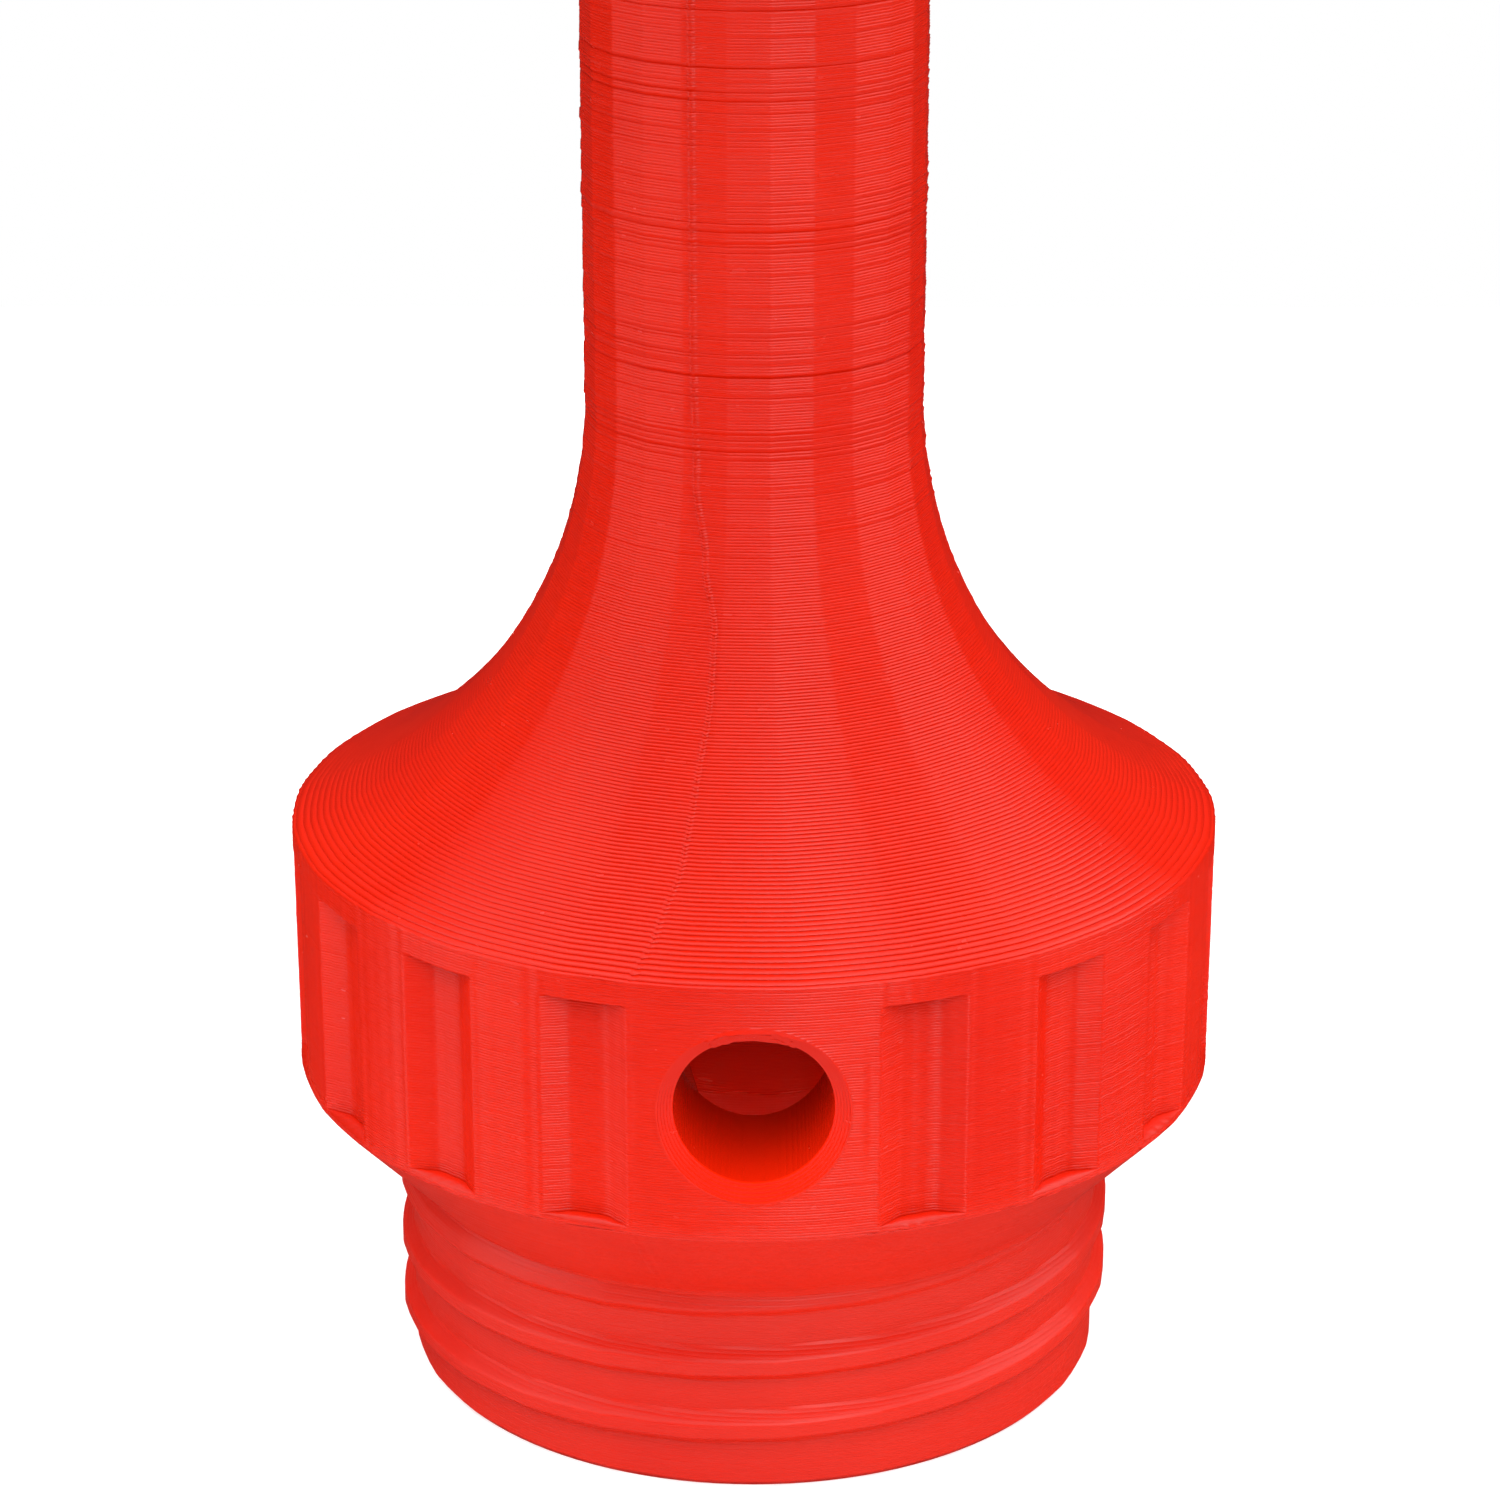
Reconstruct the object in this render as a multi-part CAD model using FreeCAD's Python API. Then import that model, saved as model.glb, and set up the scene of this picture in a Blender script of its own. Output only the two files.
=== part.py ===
import FreeCAD, Part
import math
import os

# A vented filling funnel that screws down into a filler opening.
# Frame: millimetres, +Z up the funnel's axis, origin at the centre of the flat
# face that the funnel stands on.  The vent hole in the collar faces -Y.

# ---- threaded base: spigot, collar, flare and neck ------------------------------------
SPIGOT_R = 25.6            # thread root
SPIGOT_EDGE = 0.4          # bevel round the bottom edge
SPIGOT_TOP_Z = 15.2        # the sloping face that seats on the filler's rim starts here
THREAD_R = 26.5            # thread crest
THREAD_PITCH = 5.0
THREAD_BASE_W = 2.7        # ridge width at the root
THREAD_CREST_W = 0.9
THREAD_FRONT_Z = 4.9       # height of the lowest turn where it passes the front
THREAD_START_Z = 2.4
THREAD_END_Z = 15.4        # the last turn runs out in the sloping face under the collar

COLLAR_R = 33.5
COLLAR_Z0 = 23.5
COLLAR_Z1 = 42.0
FLUTE_STEP_DEG = 20.0      # one step, at the front, holds the vent instead of a flute
FLUTE_HALF_W = 3.1
FLUTE_FLOOR_HALF_W = 1.15
FLUTE_DEPTH = 1.05
FLUTE_Z0 = 24.0
FLUTE_Z1 = 40.1

NECK_R = 12.0
BORE_R = 10.0
FLARE_R = 32.5             # concave arc between the neck and the collar's top edge
NECK_TOP_Z = 142.0
NECK_EDGE = 0.6

AIR_R = 22.0               # outer wall of the air space round the inner tube
AIR_Z1 = 38.6              # the air space closes in at 45 degrees above this height
VENT_Z = (COLLAR_Z0 + COLLAR_Z1) / 2
VENT_R = 5.4
VENT_MOUTH_R = 6.6
VENT_MOUTH_DEPTH = 1.2

# ---- screw joint between the neck and the bowl ----------------------------------------
JOINT_PITCH = 4.0
JOINT_CREST_R = 13.05      # crest of the ridge on the neck
JOINT_GAP = 0.35           # radial gap from either crest to the opposite root
JOINT_BASE_W = 1.9
JOINT_CREST_W = 0.7
NECK_RIDGE_Z = (132.0, 140.0)
BOWL_RIDGE_Z = (130.0, 137.0)
SOCKET_BORE_R = JOINT_CREST_R + JOINT_GAP

GASKET_R = (10.4, 12.9)
GASKET_T = 1.6
SHOULDER_Z = NECK_TOP_Z + GASKET_T

# ---- bowl -----------------------------------------------------------------------------
SOCKET_R = 18.0
SOCKET_Z0 = 128.0
SOCKET_Z1 = 150.0
GRIP_COUNT = 12
GRIP_HALF_W = 2.4
GRIP_DEPTH = 0.8
GRIP_Z = (129.5, 146.5)
BOWL_R = 58.0
BOWL_WALL = 2.6
BOWL_TOP_Z = 204.0
LIP_R = 60.0
LIP_H = 3.0
THROAT_TOP_Z = 145.6
LEDGE_R = 20.5
LEDGE_Z = 160.0

# ---- strainer -------------------------------------------------------------------------
RING_R = (19.0, 24.0)
RING_T = 2.5
LIP_INNER_R = 22.6
STRAINER_LIP_H = 5.0
SPOKE_COUNT = 4
SPOKE_W = 2.0
HUB_R = 4.0
POST_R = 2.4
POST_TOP_Z = 184.0
KNOB_R = 5.0
MESH_R = 22.3
MESH_T = 0.5
MESH_HOLE_R = 2.8
CLAMP_T = 2.0

AXIS_Z = FreeCAD.Vector(0, 0, 1)
ORIGIN = FreeCAD.Vector(0, 0, 0)


def at(radius, height):
    """A point of a lathe outline, in the XZ plane."""
    return FreeCAD.Vector(radius, 0, height)


def lathe(edges):
    """The solid swept by a closed XZ outline turning once about the Z axis."""
    face = Part.Face(Part.Wire(edges))
    return face.revolve(ORIGIN, AXIS_Z, 360)


def lines(points, closed=False):
    """Straight edges through the points, in order."""
    ends = points[1:] + points[:1] if closed else points[1:]
    return [Part.LineSegment(a, b).toShape() for a, b in zip(points, ends)]


def ring(inner, outer, z0, z1):
    """A flat ring of rectangular section."""
    outside = Part.makeCylinder(outer, z1 - z0, at(0, z0))
    inside = Part.makeCylinder(inner, z1 - z0, at(0, z0))
    return outside.cut(inside)


def turned(shape, degrees):
    """A copy of the shape, turned about the Z axis."""
    copy = shape.copy()
    copy.rotate(ORIGIN, AXIS_Z, degrees)
    return copy


def helical_ridge(root_r, crest_r, base_w, crest_w, pitch, z0, z1, start_deg):
    """A right-hand ridge of trapezoid section, rooted a little inside its wall."""
    bite = 0.25 if crest_r > root_r else -0.25
    flare = (base_w - crest_w) / 2 * abs(bite) / abs(crest_r - root_r)
    half_base = base_w / 2 + flare
    corners = [
        at(root_r - bite, z0 - half_base),
        at(crest_r, z0 - crest_w / 2),
        at(crest_r, z0 + crest_w / 2),
        at(root_r - bite, z0 + half_base),
    ]
    section = Part.Wire(lines(corners, closed=True))
    helix = Part.makeHelix(pitch, z1 - z0, root_r)
    helix.translate(at(0, z0))
    ridge = Part.Wire(helix).makePipeShell([section], True, True)
    return turned(ridge, start_deg)


def helix_angle(z, z_front, pitch):
    """Where a helix that crosses the front (-Y) at z_front is at height z, in degrees."""
    return -90.0 + 360.0 * (z - z_front) / pitch


def flute_cutter(radius, half_w, floor_half_w, depth, z0, z1):
    """A prism that cuts one shallow three-faced finger flute at +X."""
    chord = math.sqrt(radius ** 2 - half_w ** 2)
    floor = chord - depth
    slope = depth / (half_w - floor_half_w)
    reach = 1.5
    outer_w = half_w + reach
    outer = chord + reach * slope
    section = [(floor, -floor_half_w), (outer, -outer_w), (outer, outer_w), (floor, floor_half_w)]
    corners = [FreeCAD.Vector(x, y, z0) for x, y in section]
    face = Part.Face(Part.Wire(lines(corners, closed=True)))
    return face.extrude(FreeCAD.Vector(0, 0, z1 - z0))


def base_outline():
    """The base's outer shape, from the axis out and back to the axis."""
    centre_r = NECK_R + FLARE_R
    sweep = math.acos((centre_r - COLLAR_R) / FLARE_R)
    neck_z = COLLAR_Z1 + FLARE_R * math.sin(sweep)

    def on_arc(angle):
        return at(centre_r - FLARE_R * math.cos(angle), neck_z - FLARE_R * math.sin(angle))

    lower = [
        at(0, 0),
        at(SPIGOT_R - SPIGOT_EDGE, 0),
        at(SPIGOT_R, SPIGOT_EDGE),
        at(SPIGOT_R, SPIGOT_TOP_Z),
        at(COLLAR_R, COLLAR_Z0),
        on_arc(sweep),
    ]
    upper = [
        on_arc(0),
        at(NECK_R, NECK_TOP_Z - NECK_EDGE),
        at(NECK_R - NECK_EDGE, NECK_TOP_Z),
        at(0, NECK_TOP_Z),
        at(0, 0),
    ]
    flare = Part.Arc(on_arc(sweep), on_arc(sweep / 2), on_arc(0)).toShape()
    return lines(lower) + [flare] + lines(upper)


def air_space():
    """The ring-shaped space that leads air from the filler opening to the vent."""
    top_z = AIR_Z1 + AIR_R - NECK_R
    outline = [at(NECK_R, -1), at(AIR_R, -1), at(AIR_R, AIR_Z1), at(NECK_R, top_z)]
    return lathe(lines(outline, closed=True))


def vent():
    """The radial vent hole with its conical mouth, cut at the front of the collar."""
    inward = FreeCAD.Vector(0, 1, 0)
    start = FreeCAD.Vector(0, -COLLAR_R - 1, VENT_Z)
    hole = Part.makeCylinder(VENT_R, COLLAR_R + 1 - AIR_R + 1.5, start, inward)
    slope = (VENT_MOUTH_R - VENT_R) / VENT_MOUTH_DEPTH
    mouth = Part.makeCone(VENT_MOUTH_R + slope, VENT_R, VENT_MOUTH_DEPTH + 1, start, inward)
    return hole.fuse(mouth)


def make_base():
    base = lathe(base_outline())
    base = base.cut(Part.makeCylinder(BORE_R, NECK_TOP_Z + 2, at(0, -1)))
    base = base.cut(air_space())
    base = base.cut(vent())
    cutter = flute_cutter(COLLAR_R, FLUTE_HALF_W, FLUTE_FLOOR_HALF_W, FLUTE_DEPTH, FLUTE_Z0, FLUTE_Z1)
    steps = round(360 / FLUTE_STEP_DEG)
    for step in range(1, steps):
        base = base.cut(turned(cutter, -90 + step * FLUTE_STEP_DEG))
    thread_start = helix_angle(THREAD_START_Z, THREAD_FRONT_Z, THREAD_PITCH)
    thread = helical_ridge(SPIGOT_R, THREAD_R, THREAD_BASE_W, THREAD_CREST_W,
                           THREAD_PITCH, THREAD_START_Z, THREAD_END_Z, thread_start)
    neck_start = helix_angle(NECK_RIDGE_Z[0], NECK_RIDGE_Z[0], JOINT_PITCH)
    neck_ridge = helical_ridge(NECK_R, JOINT_CREST_R, JOINT_BASE_W, JOINT_CREST_W,
                               JOINT_PITCH, *NECK_RIDGE_Z, neck_start)
    return base.fuse([thread, neck_ridge]).removeSplitter()


def bowl_outline():
    """The bowl's section: up the outside, over the lip, down the inside."""
    cone_top_z = SOCKET_Z1 + BOWL_R - SOCKET_R
    inner_r = BOWL_R - BOWL_WALL
    inner_top_z = THROAT_TOP_Z + inner_r - BORE_R
    return [
        at(SOCKET_BORE_R, SOCKET_Z0),
        at(SOCKET_R, SOCKET_Z0),
        at(SOCKET_R, SOCKET_Z1),
        at(BOWL_R, cone_top_z),
        at(BOWL_R, BOWL_TOP_Z - LIP_H - (LIP_R - BOWL_R)),
        at(LIP_R, BOWL_TOP_Z - LIP_H),
        at(LIP_R, BOWL_TOP_Z),
        at(inner_r, BOWL_TOP_Z),
        at(inner_r, inner_top_z),
        at(BORE_R + LEDGE_Z - THROAT_TOP_Z, LEDGE_Z),
        at(LEDGE_R, LEDGE_Z),
        at(LEDGE_R, THROAT_TOP_Z + LEDGE_R - BORE_R),
        at(BORE_R, THROAT_TOP_Z),
        at(BORE_R, SHOULDER_Z),
        at(SOCKET_BORE_R, SHOULDER_Z),
    ]


def make_bowl():
    bowl = lathe(lines(bowl_outline(), closed=True))
    cutter = flute_cutter(SOCKET_R, GRIP_HALF_W, GRIP_HALF_W / 3, GRIP_DEPTH, *GRIP_Z)
    for step in range(GRIP_COUNT):
        bowl = bowl.cut(turned(cutter, -90 + step * 360 / GRIP_COUNT))
    # The bowl's ridge lies half a pitch above the neck's, in the middle of its groove.
    ridge_front_z = NECK_RIDGE_Z[0] + JOINT_PITCH / 2
    start = helix_angle(BOWL_RIDGE_Z[0], ridge_front_z, JOINT_PITCH)
    ridge = helical_ridge(SOCKET_BORE_R, NECK_R + JOINT_GAP, JOINT_BASE_W, JOINT_CREST_W,
                          JOINT_PITCH, *BOWL_RIDGE_Z, start)
    return bowl.fuse(ridge).removeSplitter()


def make_strainer_frame():
    lip_z = LEDGE_Z + STRAINER_LIP_H
    frame = ring(RING_R[0], RING_R[1], LEDGE_Z, LEDGE_Z + RING_T)
    frame = frame.fuse(ring(LIP_INNER_R, RING_R[1], LEDGE_Z, lip_z))
    frame = frame.fuse(Part.makeCylinder(HUB_R, RING_T, at(0, LEDGE_Z)))
    length = RING_R[0] + 1
    spoke = Part.makeBox(length, SPOKE_W, RING_T, FreeCAD.Vector(0, -SPOKE_W / 2, LEDGE_Z))
    for step in range(SPOKE_COUNT):
        frame = frame.fuse(turned(spoke, 45 + step * 360 / SPOKE_COUNT))
    post = Part.makeCylinder(POST_R, POST_TOP_Z - LEDGE_Z, at(0, LEDGE_Z))
    knob = Part.makeSphere(KNOB_R, at(0, POST_TOP_Z))
    return frame.fuse([post, knob]).removeSplitter()


def make_all():
    mesh_z = LEDGE_Z + RING_T
    clamp_z = mesh_z + MESH_T
    return {
        "threaded_base": make_base(),
        "bowl_gasket": ring(GASKET_R[0], GASKET_R[1], NECK_TOP_Z, SHOULDER_Z),
        "funnel_bowl": make_bowl(),
        "strainer_frame": make_strainer_frame(),
        "strainer_mesh": ring(MESH_HOLE_R, MESH_R, mesh_z, clamp_z),
        "strainer_clamp_ring": ring(RING_R[0], LIP_INNER_R, clamp_z, clamp_z + CLAMP_T),
    }


os.makedirs("parts", exist_ok=True)
for node, shape in make_all().items():
    solids = len(shape.Solids)
    print(f"{node}: {solids} solid, valid {shape.isValid()}, {shape.Volume / 1000:.2f} cm3")
    shape.exportStep(f"parts/{node}.step")
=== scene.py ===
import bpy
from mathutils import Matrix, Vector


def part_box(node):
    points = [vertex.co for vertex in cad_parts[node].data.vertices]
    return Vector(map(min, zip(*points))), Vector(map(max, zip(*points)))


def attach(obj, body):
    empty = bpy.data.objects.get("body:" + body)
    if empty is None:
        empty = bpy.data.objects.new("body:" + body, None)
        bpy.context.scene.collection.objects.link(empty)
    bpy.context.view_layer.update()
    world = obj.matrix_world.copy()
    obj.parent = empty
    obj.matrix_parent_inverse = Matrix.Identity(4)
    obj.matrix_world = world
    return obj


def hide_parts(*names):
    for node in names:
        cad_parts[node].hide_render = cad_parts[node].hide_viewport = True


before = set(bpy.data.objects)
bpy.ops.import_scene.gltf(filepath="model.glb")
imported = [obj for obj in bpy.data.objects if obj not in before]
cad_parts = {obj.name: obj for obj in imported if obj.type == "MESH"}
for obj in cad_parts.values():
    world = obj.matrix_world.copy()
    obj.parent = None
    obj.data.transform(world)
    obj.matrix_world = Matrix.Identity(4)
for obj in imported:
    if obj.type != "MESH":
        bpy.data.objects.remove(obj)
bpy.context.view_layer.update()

import math
import random

import bpy

# Looks of a vented filling funnel, printed in glossy red plastic.
# Lengths are millimetres until a mesh is made; angles are degrees from the front (-Y),
# growing towards +X.  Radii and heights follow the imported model.
MM = 0.001


def node_box(node):
    """The lowest and highest corner of a CAD node, in millimetres."""
    low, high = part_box(node)
    return [c / MM for c in low], [c / MM for c in high]


BASE_HIGH = node_box("threaded_base")[1]
BOWL_LOW, BOWL_HIGH = node_box("funnel_bowl")
GASKET_LOW, GASKET_HIGH = node_box("bowl_gasket")
MESH_LOW, MESH_HIGH = node_box("strainer_mesh")

LAYER = 0.2                     # height of one printed layer
FACETS = 25                     # flat faces round the body, as it was drawn
FACET_EDGE = 5.4                # where one of their edges lies
FACET_STEP = 360 / FACETS
WAVE_R = 8.0                    # their depth below the neck is that of a tube this small
FACET_CUTS = (0.0, 0.04, 0.3, 0.5, 0.7, 0.96)

SPIGOT_R = 25.6
SPIGOT_EDGE = 0.4
SPIGOT_TOP_Z = 15.2
THREAD_PITCH = 5.0
THREAD_FRONT_Z = 4.9
THREAD_START_Z = 2.4
THREAD_FADE_Z = (13.2, 16.0)
THREAD_H = 0.9
THREAD_HALF_W = 1.35

COLLAR_R = BASE_HIGH[0]
COLLAR_Z0 = 23.5
COLLAR_Z1 = 42.0
FLUTE_STEP = 20.0
FLUTE_Z = (24.0, 40.2)
FLUTE_HALF_W = 3.1
FLUTE_FLOOR_HALF_W = 1.15
FLUTE_DEPTH = 1.05

NECK_R = 12.0
BORE_R = 10.0
FLARE_R = 32.5
NECK_TOP_Z = BASE_HIGH[2]
NECK_EDGE = 0.6
AIR_R = 22.0
AIR_Z1 = 38.6
VENT_Z = (COLLAR_Z0 + COLLAR_Z1) / 2
VENT_R = 5.4
VENT_MOUTH_R = 6.6
VENT_MOUTH_DEPTH = 1.2
VENT_TOP_SHARE = 0.965          # the mouth's upper half is this much lower than round

JOINT_PITCH = 4.0
JOINT_FRONT_Z = NECK_TOP_Z - 10
JOINT_H = 1.05
JOINT_HALF_W = 0.95
NECK_RIDGE_Z = (NECK_TOP_Z - 10, NECK_TOP_Z - 2)
BOWL_RIDGE_Z = (NECK_TOP_Z - 12, NECK_TOP_Z - 5)

WALL_SHINE = 0.03               # brightness of the studio as the glossy plastic reflects it
CEILING_SHINE = 0.95
WALL_LIGHT = 0.06               # and as it lights matt surfaces
CEILING_LIGHT = 3.7
BACKDROP_LIGHT = 1.0
DEEP_SHADE = 0.5                 # painted shade: how dark the air space and the vent's start are painted, and next the vent's mouth, against 1 outside
MOUTH_SHADE = 0.7
AIR_GLOW_W = 0.0088             # powers and places of the faint lamps inside
AIR_GLOW_Z = 10.0
AIR_GLOW_AT = (-25, 25)
VENT_GLOW_W = 0.0008
VENT_GLOW_IN = 2.5              # inwards of the collar's front
VENT_GLOW_BELOW = 0.8           # below the vent's roof
GLOW_SIZE = 3.0
AIM_Z = 50.0                    # the soft boxes face this height


# ---- shader nodes --------------------------------------------------------------------

def new_material(name):
    material = bpy.data.materials.new(name)
    material.use_nodes = True
    return material


def add_node(owner, kind, **values):
    """A node of a material or world; values name its inputs, or else its properties."""
    node = owner.node_tree.nodes.new(kind)
    for key, value in values.items():
        label = key.replace("_", " ")
        if label in node.inputs:
            node.inputs[label].default_value = value
        else:
            setattr(node, key, value)
    return node


def link(owner, source, output, target, socket):
    owner.node_tree.links.new(source.outputs[output], target.inputs[socket])


def noise(material, place, scale, detail=2.0):
    """Noise in the object's own space."""
    node = add_node(material, "ShaderNodeTexNoise", Scale=scale, Detail=detail)
    link(material, place, "Object", node, "Vector")
    return node


def two_tones(material, source, low, high):
    """A colour between two by the strength of a noise; each is a position and its colour."""
    tone = add_node(material, "ShaderNodeValToRGB")
    for element, (position, *colour) in zip(tone.color_ramp.elements, (low, high)):
        element.position = position
        element.color = (*colour, 1)
    link(material, source, "Fac", tone, "Fac")
    return tone


def map_span(owner, source, output, span, values):
    """Turns a span of a value into a span of another."""
    node = add_node(owner, "ShaderNodeMapRange", From_Min=span[0], From_Max=span[1],
                    To_Min=values[0], To_Max=values[1])
    link(owner, source, output, node, "Value")
    return node


def bump(material, source, output, depth, strength, below=None):
    """Raises the surface by a value, over another bump where there is one."""
    node = add_node(material, "ShaderNodeBump", Strength=strength, Distance=depth * MM)
    link(material, source, output, node, "Height")
    if below:
        link(material, below, "Normal", node, "Normal")
    return node


# ---- camera, floor and light ---------------------------------------------------------

def make_camera():
    """The photograph's view: level with the neck, looking down at the collar's front."""
    data = bpy.data.cameras.new("camera")
    data.lens = 101.22
    data.sensor_width = 36.0
    camera = bpy.data.objects.new("camera", data)
    camera.location = (0, -0.2860, 0.15435)
    tilt_down = 20.74
    turn_left = 0.058
    camera.rotation_euler = (math.radians(90 - tilt_down), 0, math.radians(turn_left))
    bpy.context.scene.collection.objects.link(camera)
    bpy.context.scene.camera = camera


def make_floor():
    size = 0.6
    mesh = bpy.data.meshes.new("floor")
    half = size / 2
    corners = [(-half, -half, 0), (half, -half, 0), (half, half, 0), (-half, half, 0)]
    mesh.from_pydata(corners, [], [(0, 1, 2, 3)])
    floor = bpy.data.objects.new("floor", mesh)
    bpy.context.scene.collection.objects.link(floor)
    material = new_material("pale_floor")
    shader = material.node_tree.nodes["Principled BSDF"]
    shader.inputs["Base Color"].default_value = (0.6, 0.6, 0.6, 1)
    shader.inputs["Roughness"].default_value = 0.9
    shader.inputs["Specular IOR Level"].default_value = 0.1
    shader.inputs["Emission Color"].default_value = (1, 1, 1, 1)
    shader.inputs["Emission Strength"].default_value = 0.55
    mesh.materials.append(material)
    floor.visible_glossy = False        # the plastic reflects the studio only


def add_light(data, place, turn=(0, 0, 0), shines=True):
    """Puts a lamp that the camera doesn't see into the scene."""
    light = bpy.data.objects.new(data.name, data)
    light.location = place
    light.rotation_euler = turn
    light.visible_camera = False
    light.visible_glossy = shines
    bpy.context.scene.collection.objects.link(light)


def soft_box(name, azimuth, elevation, distance, size, radiance):
    """A panel that faces the object, seen from it at these angles."""
    data = bpy.data.lights.new(name, "AREA")
    data.shape = "RECTANGLE"
    data.size, data.size_y = size
    data.energy = radiance * math.pi * size[0] * size[1]
    a, e = math.radians(azimuth), math.radians(elevation)
    flat = distance * math.cos(e)
    place = (flat * math.sin(a), -flat * math.cos(a), AIM_Z * MM + distance * math.sin(e))
    add_light(data, place, (math.pi / 2 - e, 0, a))


def air_glow(azimuth):
    """A faint lamp in the air space, for the light that soaks in through the red walls."""
    data = bpy.data.lights.new("air_glow", "POINT")
    data.energy = AIR_GLOW_W
    data.shadow_soft_size = GLOW_SIZE * MM
    a = math.radians(azimuth)
    middle = (AIR_R + NECK_R) / 2 * MM
    place = (middle * math.sin(a), -middle * math.cos(a), AIR_GLOW_Z * MM)
    add_light(data, place, shines=False)


def vent_glow():
    """A faint lamp in the roof of the vent, for the same soaking light near its mouth."""
    data = bpy.data.lights.new("vent_glow", "AREA")
    data.shape = "DISK"
    data.size = GLOW_SIZE * MM
    data.energy = VENT_GLOW_W
    roof_z = VENT_Z + VENT_R
    place = (0, (VENT_GLOW_IN - COLLAR_R) * MM, (roof_z - VENT_GLOW_BELOW) * MM)
    add_light(data, place, shines=False)


def sky_gradient(world, axes, span, values):
    """Strength of the studio by how high a direction points."""
    grade = map_span(world, axes, "Z", span, values)
    grade.interpolation_type = "SMOOTHSTEP"
    return grade


def make_studio():
    """A pale studio, dimmer for the glossy plastic's reflections than for matt surfaces."""
    world = bpy.data.worlds.new("studio")
    world.use_nodes = True
    place = add_node(world, "ShaderNodeTexCoord")
    axes = add_node(world, "ShaderNodeSeparateXYZ")
    link(world, place, "Generated", axes, "Vector")
    light = sky_gradient(world, axes, (0.35, 0.95), (WALL_LIGHT, CEILING_LIGHT))
    shine = sky_gradient(world, axes, (0.7, 0.95), (WALL_SHINE, CEILING_SHINE))
    ray = add_node(world, "ShaderNodeLightPath")
    around = add_node(world, "ShaderNodeMix")
    link(world, ray, "Is Glossy Ray", around, "Factor")
    link(world, light, "Result", around, "A")
    link(world, shine, "Result", around, "B")
    seen = add_node(world, "ShaderNodeMix", B=BACKDROP_LIGHT)
    link(world, ray, "Is Camera Ray", seen, "Factor")
    link(world, around, "Result", seen, "A")
    background = world.node_tree.nodes["Background"]
    background.inputs["Color"].default_value = (1, 1, 1, 1)
    link(world, seen, "Result", background, "Strength")
    bpy.context.scene.world = world
    bpy.context.scene.view_settings.view_transform = "Standard"


def make_lights():
    """A key light in front on the right, a fill each side, and faint lamps inside."""
    soft_box("key", 16, 30, 0.9, (0.48, 0.55), 2.9)
    soft_box("left_fill", -75, 17, 0.9, (0.6, 0.7), 1.4)
    soft_box("right_fill", 92, 28, 0.9, (0.75, 0.6), 1.6)
    for azimuth in AIR_GLOW_AT:
        air_glow(azimuth)
    vent_glow()


# ---- materials -----------------------------------------------------------------------

RED_LOW = (0.3, 0.62, 0.009, 0.0005)    # position in the noise, and colour
RED_HIGH = (0.7, 0.68, 0.013, 0.001)
ROUGHNESS = (0.2, 0.3)
DULLER_BELOW = 0.12             # more roughness on the spigot and the 45 degree face
SKIN_DEPTH = 0.03


def painted_shade_inwards(material, place, tone):
    """Painted shade: a tone that fades towards the axis, standing in for the light lost in the vent
    and the air space.
    """
    flat = add_node(material, "ShaderNodeVectorMath", operation="MULTIPLY")
    flat.inputs[1].default_value = (1, 1, 0)
    link(material, place, "Object", flat, 0)
    from_axis = add_node(material, "ShaderNodeVectorMath", operation="LENGTH")
    link(material, flat, "Vector", from_axis, 0)
    reach = (AIR_R * MM, (COLLAR_R - VENT_MOUTH_DEPTH) * MM)
    fade = map_span(material, from_axis, "Value", reach, (DEEP_SHADE, MOUTH_SHADE))
    darker = add_node(material, "ShaderNodeVectorMath", operation="SCALE")
    link(material, tone, "Color", darker, "Vector")
    link(material, fade, "Result", darker, "Scale")
    return darker


def print_roughness(material, place, axes):
    """Roughness in streaks along the layers, and duller below the collar."""
    stretch = add_node(material, "ShaderNodeMapping", Scale=(400, 400, 1600))
    link(material, place, "Object", stretch, "Vector")
    streak = add_node(material, "ShaderNodeTexNoise", Scale=1.0, Detail=2.0)
    link(material, stretch, "Vector", streak, "Vector")
    gloss = map_span(material, streak, "Fac", (0.0, 1.0), ROUGHNESS)
    edge = (COLLAR_Z0 * MM, (COLLAR_Z0 + 1) * MM)
    dull = map_span(material, axes, "Z", edge, (DULLER_BELOW, 0.0))
    total = add_node(material, "ShaderNodeMath", operation="ADD")
    link(material, gloss, "Result", total, 0)
    link(material, dull, "Result", total, 1)
    return total


def layer_lines(material, axes):
    """A value that rises and falls once in each layer."""
    turn = add_node(material, "ShaderNodeMath", operation="MULTIPLY")
    turn.inputs[1].default_value = math.pi / (LAYER * MM)
    link(material, axes, "Z", turn, 0)
    wave = add_node(material, "ShaderNodeMath", operation="SINE")
    link(material, turn, "Value", wave, 0)
    bead = add_node(material, "ShaderNodeMath", operation="ABSOLUTE")
    link(material, wave, "Value", bead, 0)
    return bead


def printed_plastic(name, layered, inside=False):
    """Glossy red print: faint tone changes, fine layer lines where the mesh has none, and on the
    inside painted shade that darkens towards the axis.
    """
    material = new_material(name)
    shader = material.node_tree.nodes["Principled BSDF"]
    shader.inputs["Specular IOR Level"].default_value = 0.4
    place = add_node(material, "ShaderNodeTexCoord")
    axes = add_node(material, "ShaderNodeSeparateXYZ")
    link(material, place, "Object", axes, "Vector")
    tone = two_tones(material, noise(material, place, 55.0, 3.0), RED_LOW, RED_HIGH)
    # inner surfaces get painted shade, darker towards the axis
    if inside:
        link(material, painted_shade_inwards(material, place, tone), "Vector", shader, "Base Color")
    else:
        link(material, tone, "Color", shader, "Base Color")
    link(material, print_roughness(material, place, axes), "Value", shader, "Roughness")
    skin = bump(material, noise(material, place, 2600.0), "Fac", SKIN_DEPTH, 0.35)
    if layered:
        skin = bump(material, layer_lines(material, axes), "Value", SKIN_DEPTH, 0.5, skin)
    link(material, skin, "Normal", shader, "Normal")
    return material


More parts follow.
